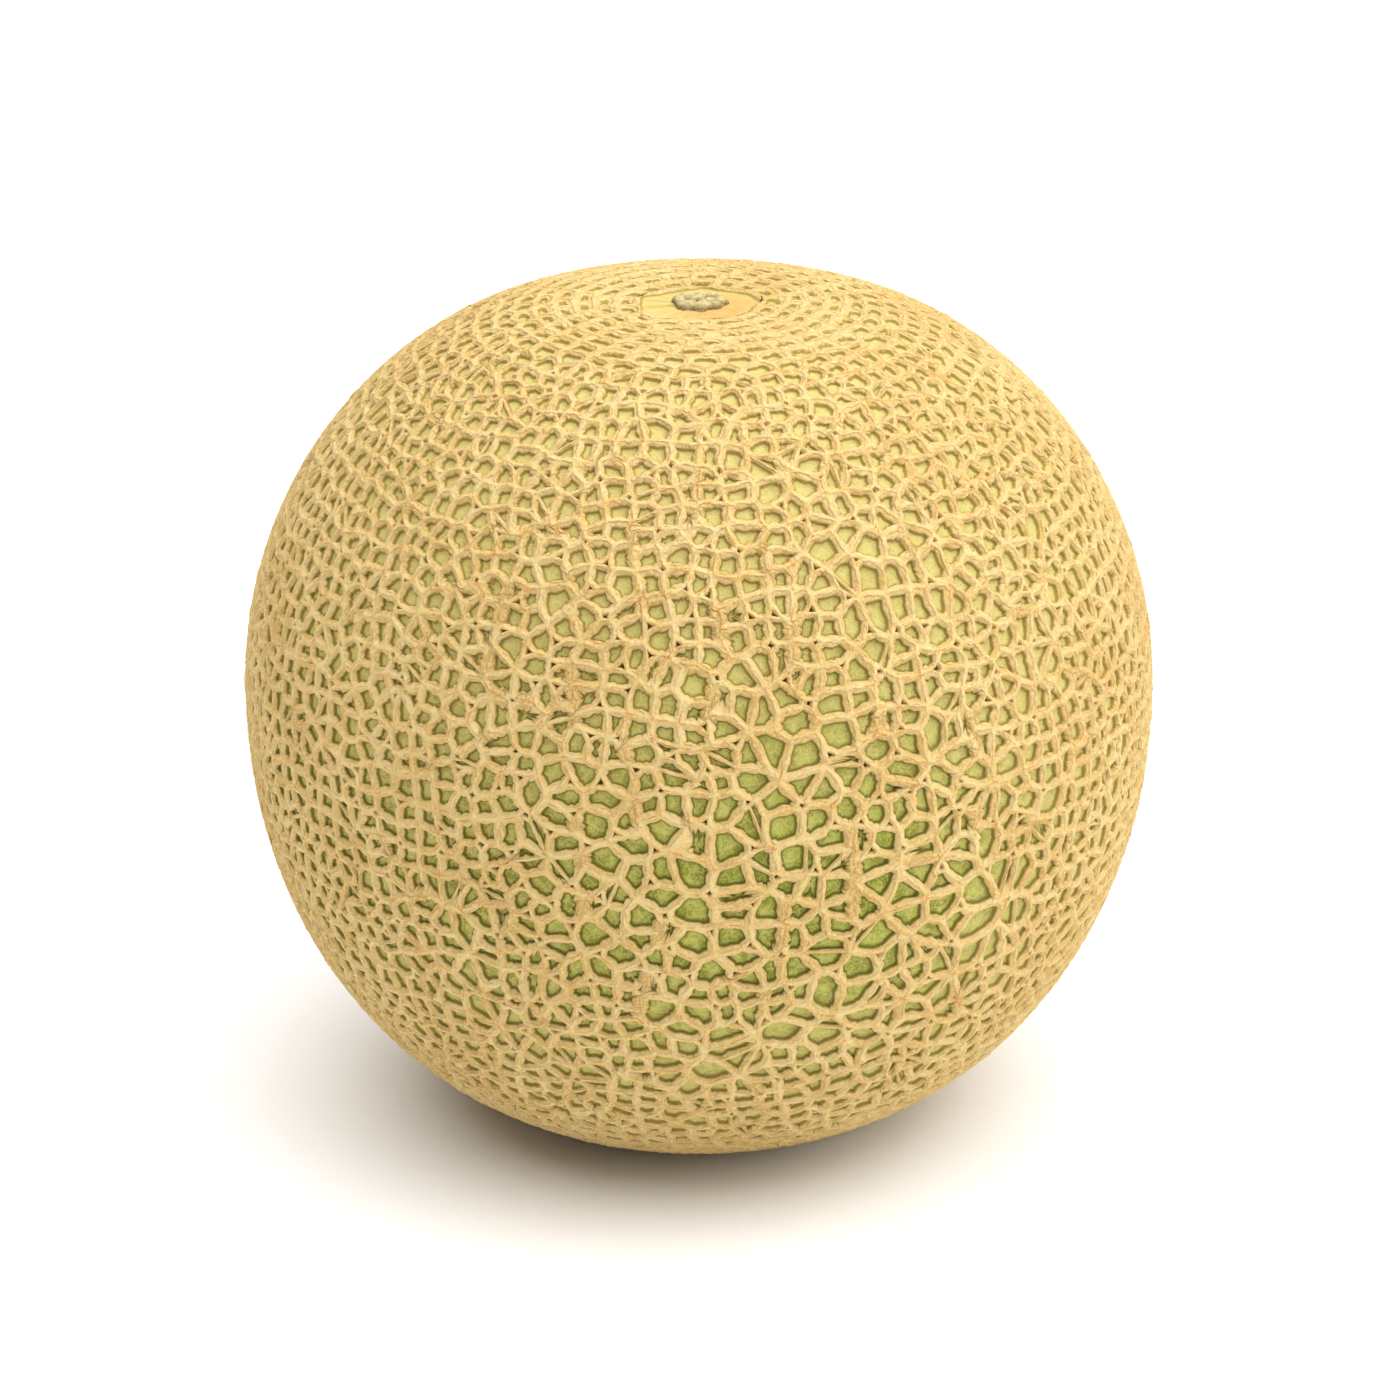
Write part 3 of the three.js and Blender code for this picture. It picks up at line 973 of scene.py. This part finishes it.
class Nodes:
    """A material's node tree, with short ways to add the kinds of node it uses."""

    def __init__(self, name):
        self.material = bpy.data.materials.new(name)
        self.material.use_nodes = True
        self.tree = self.material.node_tree
        self.shader = self.tree.nodes["Principled BSDF"]

    def link(self, value, socket):
        if isinstance(value, bpy.types.NodeSocket):
            self.tree.links.new(value, socket)
        else:
            socket.default_value = value

    def value(self, name):
        node = self.tree.nodes.new("ShaderNodeAttribute")
        node.attribute_name = name
        return node.outputs["Fac"]

    def place(self):
        return self.tree.nodes.new("ShaderNodeTexCoord").outputs["Object"]

    def noise(self, scale, detail=2.0, distortion=0.0):
        node = self.tree.nodes.new("ShaderNodeTexNoise")
        self.link(self.place(), node.inputs["Vector"])
        node.inputs["Scale"].default_value = scale
        node.inputs["Detail"].default_value = detail
        node.inputs["Distortion"].default_value = distortion
        return node.outputs["Fac"]

    def specks(self, scale):
        node = self.tree.nodes.new("ShaderNodeTexVoronoi")
        self.link(self.place(), node.inputs["Vector"])
        node.inputs["Scale"].default_value = scale
        return node.outputs["Distance"]

    def veins(self, scale):
        node = self.tree.nodes.new("ShaderNodeTexVoronoi")
        node.feature = "DISTANCE_TO_EDGE"
        self.link(self.place(), node.inputs["Vector"])
        node.inputs["Scale"].default_value = scale
        return node.outputs["Distance"]

    def span(self, value, low, high, to_low=0.0, to_high=1.0):
        node = self.tree.nodes.new("ShaderNodeMapRange")
        node.interpolation_type = "SMOOTHSTEP"
        self.link(value, node.inputs["Value"])
        for socket, number in zip(node.inputs[1:5], (low, high, to_low, to_high)):
            socket.default_value = number
        return node.outputs["Result"]

    def math(self, kind, a, b):
        node = self.tree.nodes.new("ShaderNodeMath")
        node.operation = kind
        self.link(a, node.inputs[0])
        self.link(b, node.inputs[1])
        return node.outputs["Value"]

    def mix(self, share, a, b, blend="MIX"):
        node = self.tree.nodes.new("ShaderNodeMix")
        node.data_type = "RGBA"
        node.blend_type = blend
        self.link(share, node.inputs["Factor"])
        self.link(a, node.inputs["A"])
        self.link(b, node.inputs["B"])
        return node.outputs["Result"]

    def bump(self, height, distance, strength=1.0, normal=None):
        node = self.tree.nodes.new("ShaderNodeBump")
        node.inputs["Strength"].default_value = strength
        node.inputs["Distance"].default_value = distance
        self.link(height, node.inputs["Height"])
        if normal:
            self.link(normal, node.inputs["Normal"])
        return node.outputs["Normal"]


def rind_material():
    """Cream cork threads with orange cracks, over an olive rind with painted shade at the foot of
    the strands and in the gaps.
    """
    n = Nodes("netted rind")
    across, tone = n.value("across"), n.value("tone")
    patchy, fine = n.noise(450, 3), n.noise(2400, 3)
    wander = n.math("MULTIPLY", n.math("SUBTRACT", n.noise(650, 2), 0.5), 8.0)
    lips = n.math("COSINE", n.math("ADD", n.value("thread"), wander), 0.0)
    cork = n.mix(n.span(lips, -1.0, 0.7, 0.3, 1.0), CORK_WARM, CORK_PALE)
    cork = n.mix(n.span(tone, -0.5, 0.5, 0.0, 0.45), cork, CORK_LIGHT)
    cork = n.mix(n.span(tone, -1.0, -0.5, 0.5, 0.0), cork, CORK_WARM)
    cork = n.mix(n.span(n.noise(60), 0.4, 0.7, 0.0, 0.4), cork, CORK_WARM)
    crack = n.math("MULTIPLY", n.span(across, 0.26, 0.0), n.span(patchy, 0.46, 0.66))
    cork = n.mix(crack, cork, CRACK)
    cork = n.mix(n.span(fine, 0.45, 0.7, 0.0, 0.55), cork, CORK_LIGHT)
    green = n.mix(n.span(patchy, 0.35, 0.65), GREEN_DEEP, GREEN_PALE)
    dull = n.mix(n.span(patchy, 0.35, 0.65), OLIVE_DEEP, OLIVE_PALE)
    floor = n.mix(n.value("green"), dull, green)
    floor = n.mix(n.value("pale"), floor, FLOOR_PALE)
    floor = n.mix(n.span(n.specks(1500), 0.0, 0.3, 0.5, 0.0), floor, SPECK)
    veins = n.math("MULTIPLY", n.span(n.veins(420), 0.0, 0.09), n.span(fine, 0.35, 0.65))
    floor = n.mix(n.span(veins, 0.0, 0.5, 0.4, 0.0), floor, WISP)
    # Painted shade: the floor darkens towards the foot of each strand, from about 1.5 across
    # inwards, in place of the shade there.
    edge = n.mix(n.value("pale"), n.mix(n.value("green"), PAINTED_SHADE_OLIVE, PAINTED_SHADE_GREEN), PAINTED_SHADE_PALE)
    floor = n.mix(n.span(across, 1.5, 1.05, 0.0, 0.9), floor, edge)
    disc = n.mix(n.span(tone, -0.4, 0.4), DISC_GREEN, DISC_PALE)
    disc = n.mix(n.value("blush"), disc, DISC_PEACH)
    disc = n.mix(n.span(patchy, 0.4, 0.7, 0.0, 0.5), disc, DISC_PALE)
    floor = n.mix(n.value("disc"), floor, disc)
    on_floor = n.span(across, 0.84, 1.04)
    n.link(n.mix(on_floor, cork, floor), n.shader.inputs["Base Color"])
    n.link(n.span(on_floor, 0.0, 1.0, 0.85, 0.6), n.shader.inputs["Roughness"])
    n.shader.inputs["Specular IOR Level"].default_value = 0.2
    strands = n.bump(n.math("MULTIPLY", lips, n.span(across, 1.0, 0.8)), 0.00018, 0.8)
    n.link(n.bump(n.noise(1700, 4, 0.6), 0.00034, 0.6, strands), n.shader.inputs["Normal"])
    return n.material


def scar_material():
    """Dry grey-olive cork, with painted shade in its hollows."""
    n = Nodes("stem scar cork")
    lumps, fine = n.noise(900, 4, 0.5), n.noise(3500, 3)
    colour = n.mix(n.span(lumps, 0.35, 0.65), SCAR_DARK, SCAR_PALE)
    # Painted shade: darker where the scar is low, in the hollows between its beads.
    colour = n.mix(n.span(n.value("height"), 0.2, 0.9), SCAR_SHADE, colour)
    colour = n.mix(n.span(fine, 0.35, 0.7, 0.0, 0.4), colour, SCAR_LIGHT)
    n.link(colour, n.shader.inputs["Base Color"])
    n.shader.inputs["Roughness"].default_value = 0.9
    n.link(n.bump(n.math("ADD", lumps, fine), 0.00025, 0.6), n.shader.inputs["Normal"])
    return n.material


def scar_height(x, y):
    """Height of the scar's beads over the disc at a place."""
    beads = 0.0
    for bx, by, size, tall in SCAR_BEADS:
        away = ((x - bx) ** 2 + (y - by) ** 2) / size**2
        beads += (tall * max(0.0, 1 - away) ** 0.6) ** 4
    rough = noise.fractal(Vector((x, y, 3.0)) * 1.3, 1.0, 2.0, 4)
    return beads**0.25 * SCAR_HEIGHT * (1 + 0.1 * rough)


def scar_beads():
    """Place, size and height of each bead of the scar."""
    beads = []
    for ring, (count, radius, size, tall) in enumerate(SCAR_RINGS):
        for k in range(count):
            tag = 40 * ring + k
            angle = (k + 0.5 * scatter(tag, 31)) / count * 2 * math.pi
            reach = radius * (1 + 0.24 * scatter(tag, 32))
            high = tall * (1 + 0.5 * scatter(tag, 33))
            wide = size * (1 + 0.4 * scatter(tag, 34))
            beads.append((reach * math.cos(angle), reach * math.sin(angle), wide, high))
    return beads


SCAR_BEADS = scar_beads()


def scar_mesh():
    """Closed body of the scar, from its sunk foot over its beads."""
    rings, turns = SCAR_STEPS
    disc = outline(np.array([0.0]))[1][0] + DISC_RINGS[-1][1]
    points, heights = [], []
    for ring in range(rings):
        for k in range(turns):
            angle = k / turns * 2 * math.pi
            edge = SCAR_RADIUS * (1 + 0.1 * math.sin(3 * angle + 1) + 0.05 * math.sin(7 * angle))
            radius = edge * (1 - ring / rings)
            x, y = radius * math.cos(angle), radius * math.sin(angle)
            rise = scar_height(x, y) if ring else SCAR_FOOT
            points.append((x, y, disc + rise))
            heights.append(rise / SCAR_HEIGHT)
    top = scar_height(0.0, 0.0)
    points += [(0, 0, disc + top), (0, 0, disc + SCAR_FOOT)]
    heights += [top / SCAR_HEIGHT, 0.0]
    faces = []
    for k in range(turns):
        after = (k + 1) % turns
        for ring in range(rings - 1):
            a, b = ring * turns + k, ring * turns + after
            faces += [(a, b, b + turns), (a, b + turns, a + turns)]
        last = (rings - 1) * turns
        faces.append((last + k, last + after, rings * turns))
        faces.append((after, k, rings * turns + 1))
    mesh = new_mesh("melon_stem_scar", np.array(points) * MM, np.array(faces))
    set_values(mesh, "height", heights)
    mesh.polygons.foreach_set("use_smooth", np.ones(len(faces), bool))
    return mesh


def rind_values(shell, directions, points):
    """What the rind's material reads at each vertex."""
    radius = np.hypot(points[:, 0], points[:, 1])
    azimuth = np.arctan2(directions[:, 1], directions[:, 0])
    inside = DISC_RADIUS * disc_edge(azimuth) - DISC_COLOUR_INSET - radius
    blush = 0.5 + 0.75 * np.cos(azimuth + BLUSH_TURN) - 0.1 * np.abs(radius - BLUSH_RADIUS)
    return {
        "across": np.array(shell.across, float),
        "thread": np.array(shell.thread, float) / THREAD * 2 * math.pi,
        "tone": np.array(shell.tone, float),
        "green": opening(directions),
        "pale": paleness_with_painted_light(points),
        "disc": np.clip(inside, 0, 1) * (directions[:, 2] > 0),
        "blush": np.clip(blush, 0, 1),
    }


def add_pieces():
    """The rind in its patches, and the scar."""
    net = Net()
    shell = whole_shell(net)
    directions = np.array(shell.direction)
    points = surface(directions, np.array(shell.rise))
    faces, owner = np.array(shell.faces), np.array(shell.face_cell)
    values = rind_values(shell, directions, points)
    loops = net.cells + net.gaps
    middles = unit(np.array([net.corners[loop].mean(0) for loop in loops]))
    middles[0], middles[len(net.cells) - 1] = (0, 0, 1), (0, 0, -1)
    patch_of = (middles @ np.array([axis for _, axis in PATCHES]).T).argmax(1)
    material = rind_material()
    for number, (name, axis) in enumerate(PATCHES):
        chosen = faces[patch_of[owner] == number]
        mesh = make_patch(name, np.array(axis, float), chosen, points, directions, values)
        add_piece(name, mesh, material)
    add_piece("melon_stem_scar", scar_mesh(), scar_material())


def add_studio():
    floor = bpy.data.meshes.new("floor")
    floor.from_pydata([(-3, -3, 0), (3, -3, 0), (3, 3, 0), (-3, 3, 0)], [], [(0, 1, 2, 3)])
    n = Nodes("white floor")
    n.shader.inputs["Base Color"].default_value = (0.95, 0.95, 0.95, 1)
    n.shader.inputs["Roughness"].default_value = 0.9
    floor.materials.append(n.material)
    floor = bpy.data.objects.new("floor", floor)
    bpy.context.scene.collection.objects.link(floor)
    world = bpy.data.worlds.new("studio")
    world.use_nodes = True
    world.node_tree.nodes["Background"].inputs["Color"].default_value = (1, 1, 1, 1)
    world.node_tree.nodes["Background"].inputs["Strength"].default_value = WORLD_LIGHT
    bpy.context.scene.world = world
    for name, towards, strength, width in SUNS:
        light = bpy.data.lights.new(name, "SUN")
        light.energy = strength
        light.angle = math.radians(width)
        sun = bpy.data.objects.new(name, light)
        sun.rotation_euler = Vector(towards).to_track_quat("Z", "Y").to_euler()
        bpy.context.scene.collection.objects.link(sun)


def add_camera():
    """Camera at the photo's angle, aimed so that the fruit stands where it does there."""
    elevation = math.radians(CAMERA_ELEVATION)
    back = Vector((0, -math.cos(elevation), math.sin(elevation)))
    up = Vector((0, math.sin(elevation), math.cos(elevation)))
    middle = Vector(MIDDLE.tolist()) * MM
    pixel = CAMERA_DISTANCE * CAMERA_SENSOR / CAMERA_LENS / PHOTO_SIZE
    shift_x = (PHOTO_SIZE / 2 - PHOTO_MIDDLE[0]) * pixel
    shift_up = (PHOTO_MIDDLE[1] - PHOTO_SIZE / 2) * pixel
    camera = bpy.data.cameras.new("camera")
    camera.lens = CAMERA_LENS
    camera.sensor_width = CAMERA_SENSOR
    eye = bpy.data.objects.new("camera", camera)
    eye.location = middle + back * CAMERA_DISTANCE + Vector((shift_x, 0, 0)) + up * shift_up
    eye.rotation_euler = (-back).to_track_quat("-Z", "Y").to_euler()
    bpy.context.scene.collection.objects.link(eye)
    bpy.context.scene.camera = eye


add_pieces()
add_studio()
add_camera()
bpy.context.scene.view_settings.view_transform = "Standard"
